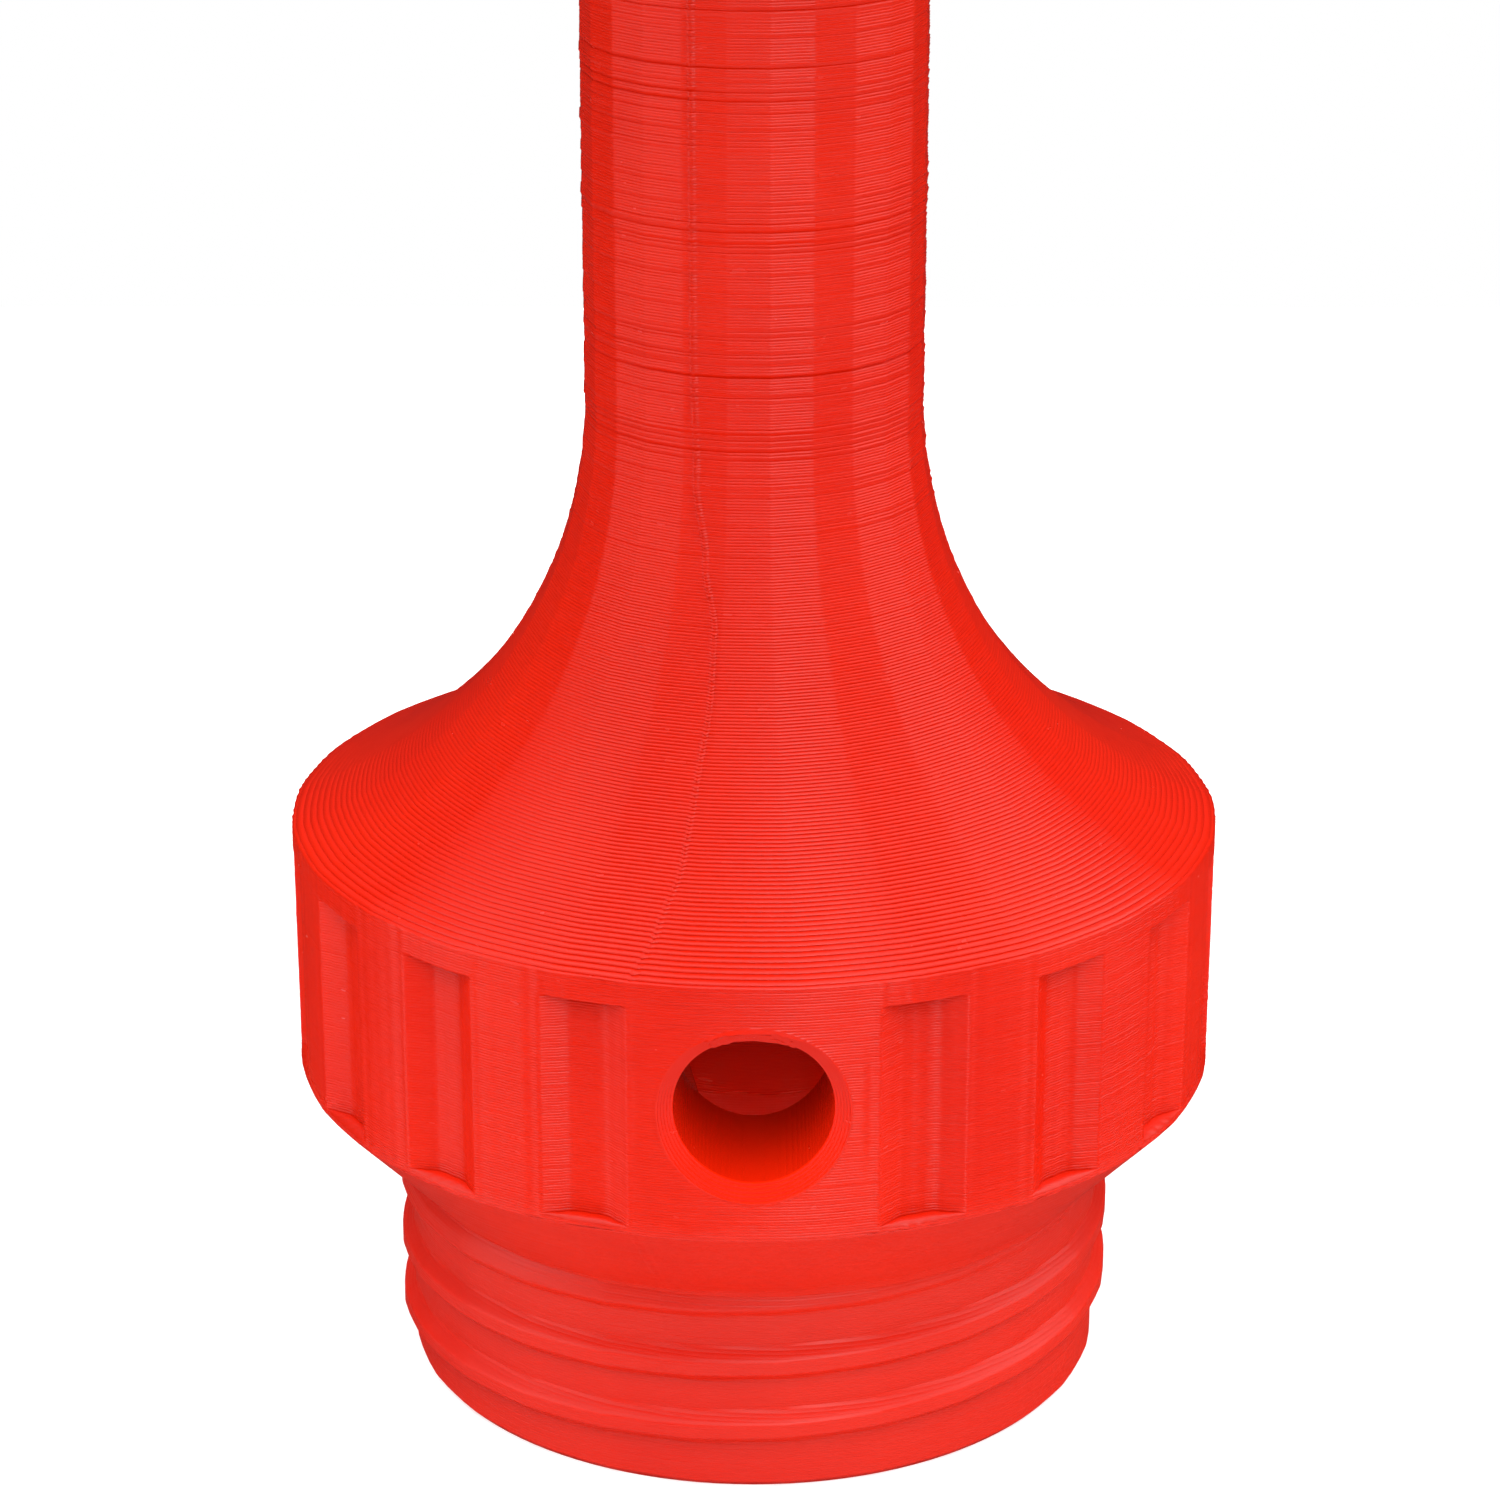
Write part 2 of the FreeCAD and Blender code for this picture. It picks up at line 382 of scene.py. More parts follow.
def grainy(name, scale, dark, light, roughness, metallic=0.0):
    """A plain finish with a fine grain between two tones."""
    material = new_material(name)
    shader = material.node_tree.nodes["Principled BSDF"]
    shader.inputs["Roughness"].default_value = roughness
    shader.inputs["Metallic"].default_value = metallic
    place = add_node(material, "ShaderNodeTexCoord")
    tone = two_tones(material, noise(material, place, scale), (0.0, *dark), (1.0, *light))
    link(material, tone, "Color", shader, "Base Color")
    return material


# ---- mesh building -------------------------------------------------------------------

class Shell:
    """Collects the points and faces of one closed surface."""

    def __init__(self):
        self.points = []
        self.faces = []
        self.slots = []
        self.sharp = set()

    def add(self, angle, radius, z):
        """A point by its angle from the front, its radius and its height."""
        a = math.radians(angle)
        self.points.append((radius * math.sin(a), -radius * math.cos(a), z))
        return len(self.points) - 1

    def ring(self, angles, radii, z):
        return [self.add(a, r, z) for a, r in zip(angles, radii)]

    def round_ring(self, count, radius, z):
        return self.ring([360 * i / count - 180 for i in range(count)], [radius] * count, z)

    def face(self, corners, slot=0):
        distinct = list(dict.fromkeys(corners))
        if len(distinct) > 2:
            self.faces.append(distinct)
            self.slots.append(slot)

    def bridge(self, low, high, slot=0, skip=()):
        """Faces between two loops of as many points, the first below the second."""
        count = len(low)
        for i in range(count):
            j = (i + 1) % count
            if i not in skip:
                self.face((low[i], low[j], high[j], high[i]), slot)

    def stitch(self, low, low_turn, high, high_turn, slot=0):
        """Faces between two loops whose points lie at different turns from 0 to 1."""
        lows = sorted(zip(low_turn, low), key=lambda pair: pair[0])
        highs = sorted(zip(high_turn, high), key=lambda pair: pair[0])
        lows.append((1 + lows[0][0], lows[0][1]))
        highs.append((1 + highs[0][0], highs[0][1]))
        i = j = 0
        while i < len(low) or j < len(high):
            a, b = lows[i][1], highs[j][1]
            low_is_next = i < len(low) and (j == len(high) or lows[i + 1][0] <= highs[j + 1][0])
            if low_is_next:
                i += 1
                self.face((a, lows[i][1], b), slot)
            else:
                j += 1
                self.face((a, highs[j][1], b), slot)

    def crease(self, loop):
        """Marks a loop's edges as sharp."""
        for a, b in zip(loop, loop[1:] + loop[:1]):
            self.sharp.add((min(a, b), max(a, b)))

    def build(self, name, materials):
        mesh = bpy.data.meshes.new(name)
        mesh.from_pydata([tuple(c * MM for c in p) for p in self.points], [], self.faces)
        for material in materials:
            mesh.materials.append(material)
        mesh.polygons.foreach_set("material_index", self.slots)
        mesh.polygons.foreach_set("use_smooth", [True] * len(mesh.polygons))
        mesh.validate()
        ends = [0] * (2 * len(mesh.edges))
        mesh.edges.foreach_get("vertices", ends)
        pairs = zip(ends[0::2], ends[1::2])
        flags = [(min(pair), max(pair)) in self.sharp for pair in pairs]
        mesh.attributes.new("sharp_edge", "BOOLEAN", "EDGE").data.foreach_set("value", flags)
        mesh.update()
        piece = bpy.data.objects.new(name, mesh)
        bpy.context.scene.collection.objects.link(piece)
        return piece


def turns(angles):
    """Angles in degrees as shares of a turn from the back."""
    return [((a + 180) % 360) / 360 for a in angles]


def ramp(value, start, end):
    return min(1.0, max(0.0, (value - start) / (end - start)))


# ---- outer shape of the base ---------------------------------------------------------

def profile(z):
    """Outer radius of the base at a height, before threads, flutes and layers."""
    if z < SPIGOT_EDGE:
        return SPIGOT_R - SPIGOT_EDGE + z
    if z < SPIGOT_TOP_Z:
        return SPIGOT_R
    if z < COLLAR_Z0:
        return SPIGOT_R + (COLLAR_R - SPIGOT_R) * ramp(z, SPIGOT_TOP_Z, COLLAR_Z0)
    if z < COLLAR_Z1:
        return COLLAR_R
    drop = NECK_Z - z
    if drop > 0:
        return NECK_R + FLARE_R - math.sqrt(FLARE_R ** 2 - drop ** 2)
    return NECK_R


NECK_Z = COLLAR_Z1 + math.sqrt(FLARE_R ** 2 - (NECK_R + FLARE_R - COLLAR_R) ** 2)


def facet(angle, z):
    """How far the body lies inside its round profile: flat faces on the neck, waves below it."""
    across = (angle - FACET_EDGE) % FACET_STEP - FACET_STEP / 2
    half = math.radians(FACET_STEP / 2)
    flat = math.cos(half) / math.cos(math.radians(across)) - 1
    wave = (math.cos(half) - 1) * (1 + math.cos(math.radians(across * FACETS))) / 2
    if z < COLLAR_Z1:
        return WAVE_R * wave
    sharp = ramp(z, COLLAR_Z1, COLLAR_Z1 + FLARE_BLEND)
    return NECK_R * sharp * flat + WAVE_R * (1 - sharp) * wave


def ridge(angle, z, pitch, front_z, half_w, height, span):
    """Height of a helical ridge at a point; span is the lowest and highest centre of its turns."""
    lead = front_z + pitch * angle / 360
    turn = round((z - lead) / pitch)
    centre = lead + turn * pitch
    if centre < span[0] or centre > span[1]:
        return 0.0
    rise = ramp(half_w - abs(z - centre), 0, half_w * 0.67)
    ends = ramp(centre, span[0], span[0] + pitch / 12)
    return height * ends * (0.35 * rise + 0.65 * rise * rise * (3 - 2 * rise))


def thread(angle, z):
    fade = 1 - ramp(z, *THREAD_FADE_Z)
    span = (THREAD_START_Z, THREAD_FADE_Z[1])
    return fade * ridge(angle, z, THREAD_PITCH, THREAD_FRONT_Z, THREAD_HALF_W, THREAD_H, span)


def flute_radius(offset):
    """Radius of a flute's three faces at an angle from the flute's middle."""
    a = math.radians(abs(offset))
    floor = math.sqrt(COLLAR_R ** 2 - FLUTE_HALF_W ** 2) - FLUTE_DEPTH
    slope = FLUTE_DEPTH / (FLUTE_HALF_W - FLUTE_FLOOR_HALF_W)
    side = (floor - FLUTE_FLOOR_HALF_W * slope) / (math.cos(a) - slope * math.sin(a))
    return min(COLLAR_R, max(floor / math.cos(a), side))


def flute(angle, z):
    """How far the flutes cut into the collar; the front step holds the vent instead."""
    step = round(angle / FLUTE_STEP)
    if step == 0 or not FLUTE_Z[0] < z < FLUTE_Z[1]:
        return 0.0
    return COLLAR_R - flute_radius(angle - step * FLUTE_STEP)


def seam_angle(z):
    """Where each layer starts and ends: a wandering line down the front left."""
    path = ((42, -14.2), (44, -12.8), (47, -11.3), (51, -11.2), (56, -10.3), (60, -10.8),
            (64.5, -15.0), (70, -19.4), (80, -20.4), (120, -20.8))
    if z <= path[0][0]:
        return path[0][1]
    for (z0, a0), (z1, a1) in zip(path, path[1:]):
        if z <= z1:
            t = ramp(z, z0, z1)
            return a0 + (a1 - a0) * t * t * (3 - 2 * t)
    return path[-1][1]


ODD_SHIFTS = (-0.11, -0.08, 0.09)       # how far an odd layer lies back or stands proud
ODD_SHARE = 0.27
DRIFT = 0.016                   # what neighbouring layers share, and what each does alone
DRIFT_KEPT = 0.75
JITTER = 0.009
SEAM_HEIGHTS = (0.12, 0.34)


class Layers:
    """What each printed layer does: how far it bulges, and how high its seam bead is."""

    def __init__(self, count):
        dice = random.Random(11)
        self.shift = []
        self.phase = []
        self.seam = []
        slow = 0.0
        for k in range(count):
            slow = DRIFT_KEPT * slow + dice.gauss(0, DRIFT)
            odd = dice.choice(ODD_SHIFTS) if dice.random() < ODD_SHARE else 0.0
            self.shift.append((slow, dice.gauss(0, JITTER), odd))
            self.phase.append(dice.uniform(0, 360))
            self.seam.append(dice.uniform(*SEAM_HEIGHTS))

    def bulge(self, k, angle, z):
        """How far layer k stands out at an angle; the layers are calmest below the collar."""
        slow, fine, odd = self.shift[k]
        wild = ramp(z, COLLAR_Z1 + 8, NECK_Z + 4)
        wave = 0.6 + 0.4 * math.cos(math.radians(angle - self.phase[k]))
        least = 0.15 if z > COLLAR_Z0 else 0.03
        rough = least + 0.85 * wild
        return (slow + odd * wave) * rough + fine * (0.4 + 0.6 * wild)


LAYERS = Layers(round(BOWL_HIGH[2] / LAYER) + 2)
GROOVE = 0.062                  # depth of the groove between two layers
GROOVE_AT = 0.06                # heights of groove and crest, as shares of the layer
CREST_AT = 0.62
SEAM_HALF_W = 0.2               # of the bead where a layer starts and ends
FLARE_BLEND = 14.0              # height over which the flare takes on the neck's facets and grooves


def body_columns(z):
    """Angles of the points round the spigot, flare and neck, with extra ones at the seam."""
    seam_face = math.floor((seam_angle(z) - FACET_EDGE) / FACET_STEP)
    angles = []
    for i in range(FACETS):
        face = i - FACETS // 2 - 1
        start = FACET_EDGE + face * FACET_STEP
        if face == seam_face:
            middle = seam_angle(z)
            bead = math.degrees(SEAM_HALF_W / profile(z))
            end = start + FACET_STEP
            angles += [start, start + 0.04 * FACET_STEP]
            angles += [middle - 1.4 * bead, middle - bead, middle, middle + bead]
            room = end - middle - bead
            angles += [middle + bead + share * room for share in (0.12, 0.5, 0.93)]
        else:
            angles += [start + cut * FACET_STEP for cut in FACET_CUTS]
    return angles


def body_radius(angle, z, k, in_groove, seam_near):
    """Radius of a point of layer k: smooth below the collar, and in steps above it."""
    middle_z = (k + 0.5) * LAYER
    radius = profile(z if z < COLLAR_Z0 else middle_z)
    radius += facet(angle, middle_z) + LAYERS.bulge(k, angle, middle_z)
    if z < THREAD_FADE_Z[1] + 1:
        radius += thread(angle, z)
    if z > NECK_RIDGE_Z[0] - JOINT_PITCH:
        radius += ridge(angle, z, JOINT_PITCH, JOINT_FRONT_Z, JOINT_HALF_W, JOINT_H, NECK_RIDGE_Z)
    if seam_near:
        radius += LAYERS.seam[k] * (0.25 + 0.75 * ramp(z, COLLAR_Z0, COLLAR_Z1))
    shallow = 0.4 if z < COLLAR_Z1 else 0.45 + 0.55 * ramp(z, COLLAR_Z1, COLLAR_Z1 + FLARE_BLEND)
    return radius - (GROOVE * shallow if in_groove else 0)


def body_rows(shell, k0, k1):
    """Two rows of points for each layer from k0 up to k1, joined up; gives first and last."""
    first = last = None
    for k in range(k0, k1):
        middle_z = (k + 0.5) * LAYER
        angles = body_columns(middle_z)
        seam = seam_angle(middle_z)
        for at, in_groove in ((GROOVE_AT, True), (CREST_AT, False)):
            z = (k + at) * LAYER
            radii = [body_radius(a, z, k, in_groove, a == seam) for a in angles]
            row = shell.ring(angles, radii, z)
            if in_groove:
                shell.crease(row)
            if last:
                shell.bridge(last, row)
            first = first or row
            last = row
    return first, last


# ---- collar --------------------------------------------------------------------------

FLUTE_EDGE = math.degrees(math.asin(FLUTE_HALF_W / COLLAR_R))
HALF_CUTS = (0.6, 1.2, 1.75, 2.15, 2.9, 3.6, 4.3, 5.1, 5.45, 6.0, 6.6, 7.2, 7.8, 8.5, 9.2)
STEP_CUTS = (-10.0,) + tuple(-c for c in reversed(HALF_CUTS)) + (0.0,) + HALF_CUTS
FRONT_EDGE = 13.8               # the patch round the vent reaches this far to each side
NEAREST_FLUTE = FRONT_EDGE + 0.9        # where the next flute's edge lies, for its ripples
GRAIN = random.Random(3)        # the unevenness of the collar's beads
GRAIN_H = 0.007
RIPPLE_H = 0.065                # ripples beside an edge: height, spacing and reach
RIPPLE_STEP = 1.4
RIPPLE_REACH = 1.5
FLUTE_RIPPLE_H = 0.036          # inside a flute: height, and spacing in degrees
FLUTE_RIPPLE_STEP = 1.75
COLLAR_SEAM_AT = -14.1          # the layers' seam on the collar: angle, width there and height
COLLAR_SEAM_W = 0.35
COLLAR_SEAM_H = 0.05
FRONT_SHARES = (0.0, 0.16, 0.31, 0.45, 0.58, 0.7, 0.81, 0.91, 1.0)


def vent_half_angle(z):
    """Half the angle that the vent's mouth takes of the collar at a height, or 0."""
    up = z - VENT_Z
    reach = VENT_MOUTH_R if up < 0 else VENT_MOUTH_R * VENT_TOP_SHARE
    if abs(up) >= reach:
        return 0.0
    across = VENT_MOUTH_R * math.sqrt(1 - (up / reach) ** 2)
    return math.degrees(math.asin(across / COLLAR_R))


def collar_columns(z):
    """Angles round the collar: the front step follows the vent's edge, the rest the flutes."""
    vent = vent_half_angle(z)
    left = [-FRONT_EDGE + s * (FRONT_EDGE - vent) for s in FRONT_SHARES]
    right = [-a for a in reversed(left)]
    rest = []
    for step in range(1, round(360 / FLUTE_STEP)):
        rest += [step * FLUTE_STEP + cut for cut in STEP_CUTS]
    return left + right + [a for a in rest if FRONT_EDGE < a < 360 - FRONT_EDGE]


def ringing(angle):
    """Ripples beside an edge, where the nozzle shook after its turn, with a raised lip at it."""
    from_edge = abs(angle - FLUTE_STEP * round(angle / FLUTE_STEP)) - FLUTE_EDGE
    if abs(angle) < FRONT_EDGE:
        from_edge = NEAREST_FLUTE - abs(angle)
    away = math.radians(max(0.0, from_edge)) * COLLAR_R
    if from_edge < 0:
        return FLUTE_RIPPLE_H * math.cos(math.tau * from_edge / FLUTE_RIPPLE_STEP)
    return RIPPLE_H * math.cos(math.tau * away / RIPPLE_STEP) * math.exp(-away / RIPPLE_REACH)


def collar_radius(angle, z, k, in_groove):
    """Radius of a point of the collar's layer k."""
    short = (angle + 180) % 360 - 180
    seam = COLLAR_SEAM_H * math.exp(-((short - COLLAR_SEAM_AT) / COLLAR_SEAM_W) ** 2)
    radius = COLLAR_R + facet(short, z) + LAYERS.bulge(k, short, z) + ringing(short) + seam
    grain = GRAIN.gauss(0, GRAIN_H)
    return radius + grain - flute(short, z) - (GROOVE if in_groove else 0)


def collar_rows(shell, k0, k1):
    """The collar's rows, open at the vent; gives first row, last row and the vent's edge."""
    gap = len(FRONT_SHARES) - 1
    first = last = None
    low_apex = high_apex = None
    left_edge, right_edge = [], []
    for k in range(k0, k1):
        middle_z = (k + 0.5) * LAYER
        for at, in_groove in ((GROOVE_AT, True), (CREST_AT, False)):
            z = (k + at) * LAYER
            angles = collar_columns(z)
            row = shell.ring(angles, [collar_radius(a, middle_z, k, in_groove) for a in angles], z)
            if vent_half_angle(z) > 0:
                left_edge.append(row[gap])
                right_edge.append(row[gap + 1])
            else:
                row[gap + 1] = row[gap]
                if not left_edge:
                    low_apex = row[gap]
                elif high_apex is None:
                    high_apex = row[gap]
            if in_groove:
                shell.crease(row)
            if last:
                shell.bridge(last, row, skip=(gap,))
            first = first or row
            last = row
    vent_edge = [low_apex] + right_edge + [high_apex] + left_edge[::-1]
    return first, last, vent_edge


VENT_SAG = 0.3                  # how far the vent's top sags, and its loose strands hang
VENT_STRANDS = 0.14
STRANDS_FROM = 0.85


def vent_tunnel(shell, edge):
    """The vent's cone and bore, from the collar to the air space; gives the last loop."""
    shell.crease(edge)
    directions = []
    for index in edge:
        x, _, z = shell.points[index]
        length = math.hypot(x, z - VENT_Z)
        directions.append((x / length, (z - VENT_Z) / length))
    rings = []
    steps = round((VENT_MOUTH_R - VENT_R) / LAYER)
    # the mouth is a small stair, one layer to a step
    for step in range(1, steps + 1):
        radius = VENT_MOUTH_R - step * LAYER
        rings += [(radius + 0.03, (step - 0.8) * LAYER), (radius, step * LAYER)]
    tunnel = COLLAR_R - AIR_R - VENT_MOUTH_DEPTH
    rings += [(VENT_R, VENT_MOUTH_DEPTH + share * tunnel) for share in (0.05, 0.3, 0.6)]
    # a ring without a depth lies on the air space's wall
    rings.append((VENT_R, None))
    dice = random.Random(5)
    last = edge
    for index, (radius, depth) in enumerate(rings):
        loop = []
        for x, up in directions:
            droop = VENT_SAG * max(0, up) ** 6
            if up > STRANDS_FROM:
                droop += VENT_STRANDS * dice.random()
            reach = radius - droop
            wall_r = AIR_R if depth is None else COLLAR_R
            y = (depth or 0) - math.sqrt(wall_r ** 2 - (reach * x) ** 2)
            shell.points.append((reach * x, y, VENT_Z + reach * up))
            loop.append(len(shell.points) - 1)
        shell.bridge(loop, last, slot=0 if index < 2 * steps else 1)
        shell.crease(loop)
        last = loop
    return last


# ---- inside of the base --------------------------------------------------------------

ROUND = 120                     # points round the inner surfaces


def air_space(shell, vent_loop):
    """The ring-shaped air space; its outer wall is open where the vent comes in."""
    # upright as far as AIR_Z1, then a 45 degree roof; the vent comes in above the fifth ring
    wall_z = [0.0, 6.0, 14.0, 22.0, 26.0, AIR_Z1 + 0.15, AIR_Z1 + 4, AIR_Z1 + 7]
    wall_r = [AIR_R] * 5 + [AIR_R - 0.15, AIR_R - 4, AIR_R - 7]
    walls = [shell.round_ring(ROUND, r, z) for r, z in zip(wall_r, wall_z)]
    shell.crease(walls[0])
    vent_row = 4
    half_gap = 6
    middle = ROUND // 2
    skipped = range(middle - half_gap, middle + half_gap)
    for i, (low, high) in enumerate(zip(walls, walls[1:])):
        shell.bridge(high, low, slot=1, skip=skipped if i == vent_row else ())
    low = walls[vent_row][middle - half_gap:middle + half_gap + 1]
    high = walls[vent_row + 1][middle - half_gap:middle + half_gap + 1]
    frame_loop = low + high[::-1]

    def around(index):
        x, _, z = shell.points[index]
        return (math.atan2(z - VENT_Z, x) / math.tau) % 1

    shell.stitch(vent_loop, [around(i) for i in vent_loop],
                 frame_loop, [around(i) for i in frame_loop], slot=1)
    roof_z = AIR_Z1 + AIR_R - NECK_R
    apex = shell.round_ring(ROUND, NECK_R + 0.1, roof_z - 0.1)
    shell.bridge(apex, walls[-1], slot=1)
    tube = [shell.round_ring(ROUND, NECK_R, z) for z in (roof_z - 0.4, 30.0, 15.0, 0.0)]
    shell.bridge(tube[0], apex, slot=1)
    for high_ring, low_ring in zip(tube, tube[1:]):
        shell.bridge(low_ring, high_ring, slot=1)
    shell.crease(tube[-1])
    return walls[0], tube[-1]


def bore(shell, foot):
    """The bore, from the tube's foot up to the neck's top; gives its last ring."""
    rings = [shell.round_ring(ROUND, BORE_R, z) for z in (0.0, 30.0, 60.0, 90.0, NECK_TOP_Z)]
    shell.bridge(rings[0], foot, slot=1)
    shell.crease(rings[0])
    for low, high in zip(rings, rings[1:]):
        shell.bridge(high, low, slot=1)
    shell.crease(rings[-1])
    return rings[-1]


def make_base(materials):
    shell = Shell()
    collar_k0 = round(COLLAR_Z0 / LAYER + 0.5)
    collar_k1 = round(COLLAR_Z1 / LAYER)
    top_k = round((NECK_TOP_Z - NECK_EDGE) / LAYER)
    foot, spigot_top = body_rows(shell, 0, collar_k0)
    collar_foot, collar_top, vent_edge = collar_rows(shell, collar_k0, collar_k1)
    flare_foot, neck_top = body_rows(shell, collar_k1, top_k)

    def turn_of(loop):
        spots = [shell.points[i] for i in loop]
        return turns([math.degrees(math.atan2(x, -y)) for x, y, _ in spots])

    collar_foot = list(dict.fromkeys(collar_foot))
    collar_top = list(dict.fromkeys(collar_top))
    shell.stitch(spigot_top, turn_of(spigot_top), collar_foot, turn_of(collar_foot))
    shell.stitch(collar_top, turn_of(collar_top), flare_foot, turn_of(flare_foot))
    vent_loop = vent_tunnel(shell, vent_edge)
    air_foot, tube_foot = air_space(shell, vent_loop)
    sole = shell.round_ring(ROUND, SPIGOT_R - SPIGOT_EDGE, 0.0)
    shell.stitch(sole, turn_of(sole), foot, turn_of(foot))
    shell.bridge(air_foot, sole)
    shell.crease(sole)
    bore_top = bore(shell, tube_foot)
    rim = shell.round_ring(ROUND, NECK_R - NECK_EDGE, NECK_TOP_Z)
    shell.stitch(neck_top, turn_of(neck_top), rim, turn_of(rim))
    shell.bridge(rim, bore_top)
    shell.crease(rim)
    piece = shell.build("printed_base", materials)
    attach(piece, "base")
    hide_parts("threaded_base")


# ---- bowl ----------------------------------------------------------------------------

SOCKET_R = 18.0
SOCKET_BORE_R = 13.4
SOCKET_Z0 = BOWL_LOW[2]
CONE_Z0 = NECK_TOP_Z + 8
SHOULDER_Z = GASKET_HIGH[2]
THROAT_Z = SHOULDER_Z + 2
GRIP_STEP = 30.0
GRIP_HALF_W = 2.4
GRIP_DEPTH = 0.8
GRIP_CUTS = (1.3, 2.6, 4.2, 6.0, 7.7, 8.3, 10.0, 12.5)
GRIP_Z = (SOCKET_Z0 + 1.5, CONE_Z0 - 3.5)
BOWL_R = 58.0
BOWL_INNER_R = 55.4
BOWL_TOP_Z = BOWL_HIGH[2]
LIP_R = BOWL_HIGH[0]
LIP_H = 3.0
LIP_EDGE = 0.6
LEDGE_Z = MESH_LOW[2] - 2.5
LEDGE_R = 20.5
BOWL_FACETS = 120
BOWL_SEAM_AT = 165.0
BOWL_SEAM_W = 0.3
BOWL_SEAM_H = 0.16


def bowl_outside(z):
    """Outer radius of the bowl: socket, cone, upright wall and lip."""
    if z < CONE_Z0:
        return SOCKET_R
    wall = min(BOWL_R, SOCKET_R + z - CONE_Z0)
    lip = LIP_R - max(0.0, BOWL_TOP_Z - LIP_H - z) - max(0.0, z - BOWL_TOP_Z + LIP_EDGE)
    return max(wall, lip)


def bowl_inside(z):
    """Inner radius of the bowl: socket bore, throat, the strainer's seat, cone and wall."""
    if z < SHOULDER_Z:
        return SOCKET_BORE_R
    cone = BORE_R + max(0.0, z - THROAT_Z)
    if z < LEDGE_Z:
        return min(cone, LEDGE_R)
    return min(cone, BOWL_INNER_R) + max(0.0, z - BOWL_TOP_Z + LIP_EDGE)


def grip(angle, z):
    """How far the grips cut into the socket."""
    if not GRIP_Z[0] < z < GRIP_Z[1]:
        return 0.0
    away = abs((angle + GRIP_STEP / 2) % GRIP_STEP - GRIP_STEP / 2)
    across = SOCKET_R * math.sin(math.radians(away))
    return GRIP_DEPTH * ramp(GRIP_HALF_W - across, 0, GRIP_HALF_W * 2 / 3)


def bowl_radius(angle, z, k, outside):
    """Radius of a point of the bowl's layer k, on its outer or inner wall."""
    middle_z = (k + 0.5) * LAYER
    drift = LAYERS.bulge(k, angle, COLLAR_Z1)
    if outside:
        from_seam = (angle % 360 - BOWL_SEAM_AT) * math.radians(bowl_outside(z))
        seam = BOWL_SEAM_H * math.exp(-(from_seam / BOWL_SEAM_W) ** 2)
        return bowl_outside(middle_z) - grip(angle, middle_z) + drift + seam
    radius = bowl_inside(middle_z) + drift
    if z < SHOULDER_Z:
        lead = JOINT_FRONT_Z + JOINT_PITCH / 2
        radius -= ridge(angle, z, JOINT_PITCH, lead, JOINT_HALF_W, JOINT_H, BOWL_RIDGE_Z)
    return radius


def bowl_rows(shell, angles, z0, z1, outside):
    """The rows of one wall of the bowl from z0 up to z1; gives first and last."""
    first = last = None
    slot = 0 if outside else 1
    groove = GROOVE if outside else -GROOVE
    for k in range(round(z0 / LAYER), round(z1 / LAYER)):
        for at, cut in ((GROOVE_AT, groove), (CREST_AT, 0)):
            z = (k + at) * LAYER
            row = shell.ring(angles, [bowl_radius(a, z, k, outside) - cut for a in angles], z)
            if cut:
                shell.crease(row)
            if last:
                low, high = (last, row) if outside else (row, last)
                shell.bridge(low, high, slot)
            first = first or row
            last = row
    return first, last


def make_bowl(materials):
    shell = Shell()
    steps = [step * GRIP_STEP for step in range(round(360 / GRIP_STEP))]
    fine = steps + [a + GRIP_STEP / 2 for a in steps]
    fine += [a + side * cut for a in steps for side in (1, -1) for cut in GRIP_CUTS]
    fine = sorted(a % 360 - 180 for a in fine)
    even = [360 * i / BOWL_FACETS - 180 for i in range(BOWL_FACETS)]
    foot_out, socket_top = bowl_rows(shell, fine, SOCKET_Z0, CONE_Z0, outside=True)
    cone_foot, rim_out = bowl_rows(shell, even, CONE_Z0, BOWL_TOP_Z, outside=True)
    shell.stitch(socket_top, turns(fine), cone_foot, turns(even))
    foot_in, bore_top = bowl_rows(shell, even, SOCKET_Z0, SHOULDER_Z, outside=False)
    throat, seat = bowl_rows(shell, even, SHOULDER_Z, LEDGE_Z, outside=False)
    ledge, rim_in = bowl_rows(shell, even, LEDGE_Z, BOWL_TOP_Z, outside=False)
    shell.bridge(throat, bore_top, slot=1)
    shell.bridge(ledge, seat, slot=1)
    shell.bridge(rim_out, rim_in)
    shell.stitch(foot_in, turns(even), foot_out, turns(fine))
    for loop in (rim_in, bore_top, throat, seat, ledge):
        shell.crease(loop)
    piece = shell.build("printed_bowl", materials)
    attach(piece, "bowl")
    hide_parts("funnel_bowl")
    piece.visible_glossy = False        # the neck doesn't reflect it


# ---- gasket and strainer mesh --------------------------------------------------------

GASKET_INNER_R = 10.4
GASKET_EDGE = 0.35
GASKET_COLUMNS = 96
EDGE_STEPS = 3


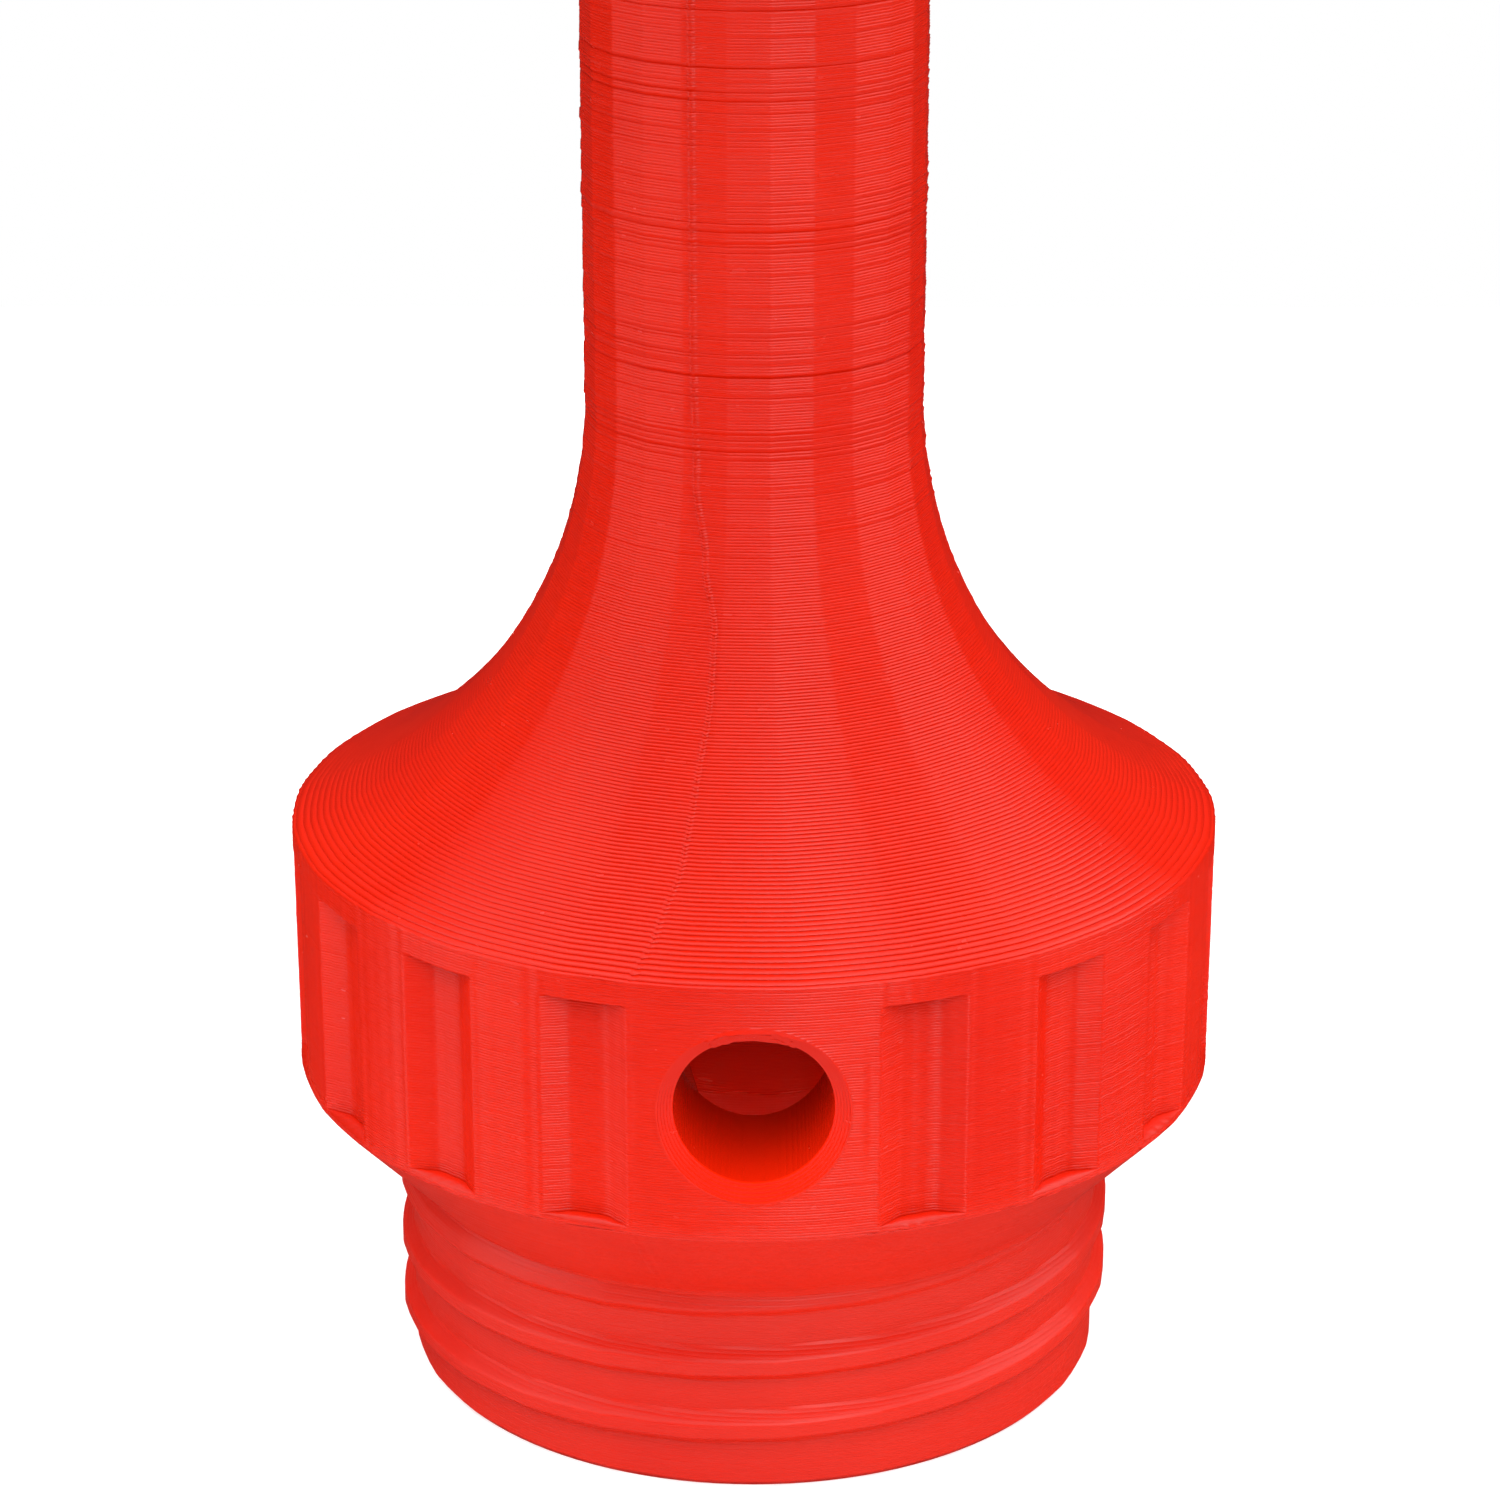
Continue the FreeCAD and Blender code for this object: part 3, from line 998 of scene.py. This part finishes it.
def make_gasket(material):
    """A rubber ring with rounded edges."""
    shell = Shell()
    inner, outer = GASKET_INNER_R, GASKET_HIGH[0]
    low, high = GASKET_LOW[2], GASKET_HIGH[2]
    corners = ((outer, low, 1, -1), (outer, high, 1, 1), (inner, high, -1, 1), (inner, low, -1, -1))
    loops = []
    for radius, z, out, up in corners:
        for step in range(EDGE_STEPS + 1):
            turn = math.radians(90 / EDGE_STEPS * step)
            lean = (math.cos(turn), math.sin(turn))
            if out == -up:
                lean = lean[::-1]
            loop_r = radius - out * GASKET_EDGE * (1 - lean[0])
            loop_z = z - up * GASKET_EDGE * (1 - lean[1])
            loops.append(shell.round_ring(GASKET_COLUMNS, loop_r, loop_z))
    for low_loop, high_loop in zip(loops, loops[1:] + loops[:1]):
        shell.bridge(low_loop, high_loop)
    piece = shell.build("rubber_gasket", [material])
    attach(piece, "gasket")
    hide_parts("bowl_gasket")


WIRE_R = 0.12
WIRE_PITCH = 1.2
WIRE_SIDES = 6
HUB_GAP_R = 2.8


def wire(shell, across, lean, span, turned):
    """One wavy wire of the strainer's mesh over a span, as a closed tube."""
    middle = (MESH_LOW[2] + MESH_HIGH[2]) / 2
    steps = max(2, round((span[1] - span[0]) / (WIRE_PITCH / 4)))
    loops = []
    for i in range(steps + 1):
        along = span[0] + (span[1] - span[0]) * i / steps
        z = middle + lean * WIRE_R * math.cos(math.pi * along / WIRE_PITCH)
        loop = []
        for side in range(WIRE_SIDES):
            turn = math.tau * side / WIRE_SIDES
            aside = across + WIRE_R * math.cos(turn)
            x, y = (aside, along) if turned else (along, aside)
            shell.points.append((x, y, z + WIRE_R * math.sin(turn)))
            loop.append(len(shell.points) - 1)
        loops.append(loop if turned else loop[::-1])
    for low, high in zip(loops, loops[1:]):
        shell.bridge(high, low)
    shell.face(loops[0])
    shell.face(loops[-1][::-1])


def make_mesh(material):
    """Plain-woven wire cloth, round, with a hole for the strainer's post."""
    shell = Shell()
    outer = MESH_HIGH[0]
    count = int(outer / WIRE_PITCH)
    for turned in (False, True):
        for i in range(-count, count + 1):
            across = i * WIRE_PITCH
            lean = (1 if i % 2 else -1) * (-1 if turned else 1)
            reach = math.sqrt(outer ** 2 - (abs(across) + WIRE_R) ** 2)
            spans = [(-reach, reach)]
            if abs(across) < HUB_GAP_R:
                gap = math.sqrt(HUB_GAP_R ** 2 - across ** 2)
                spans = [(-reach, -gap), (gap, reach)]
            for span in spans:
                wire(shell, across, lean, span, turned)
    piece = shell.build("woven_mesh", [material])
    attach(piece, "strainer")
    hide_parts("strainer_mesh")


def finish_node(node, material):
    """Gives a CAD node its material."""
    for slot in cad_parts[node].material_slots:
        slot.link = "OBJECT"
        slot.material = material


make_camera()
make_floor()
make_studio()
make_lights()
red_skin = printed_plastic("red_print", layered=False)
red_lines = printed_plastic("red_print_lines", layered=True)
# the base's inner surfaces carry painted shade, darker towards the axis
make_base([red_skin, printed_plastic("red_print_inside_painted_shade", layered=True, inside=True)])
make_bowl([red_skin, red_lines])
make_gasket(grainy("seal_rubber", 900.0, (0.012, 0.012, 0.012), (0.03, 0.03, 0.03), 0.65))
make_mesh(grainy("mesh_steel", 1500.0, (0.48, 0.48, 0.47), (0.68, 0.68, 0.66), 0.3, metallic=1.0))
finish_node("strainer_frame", red_lines)
finish_node("strainer_clamp_ring", red_lines)
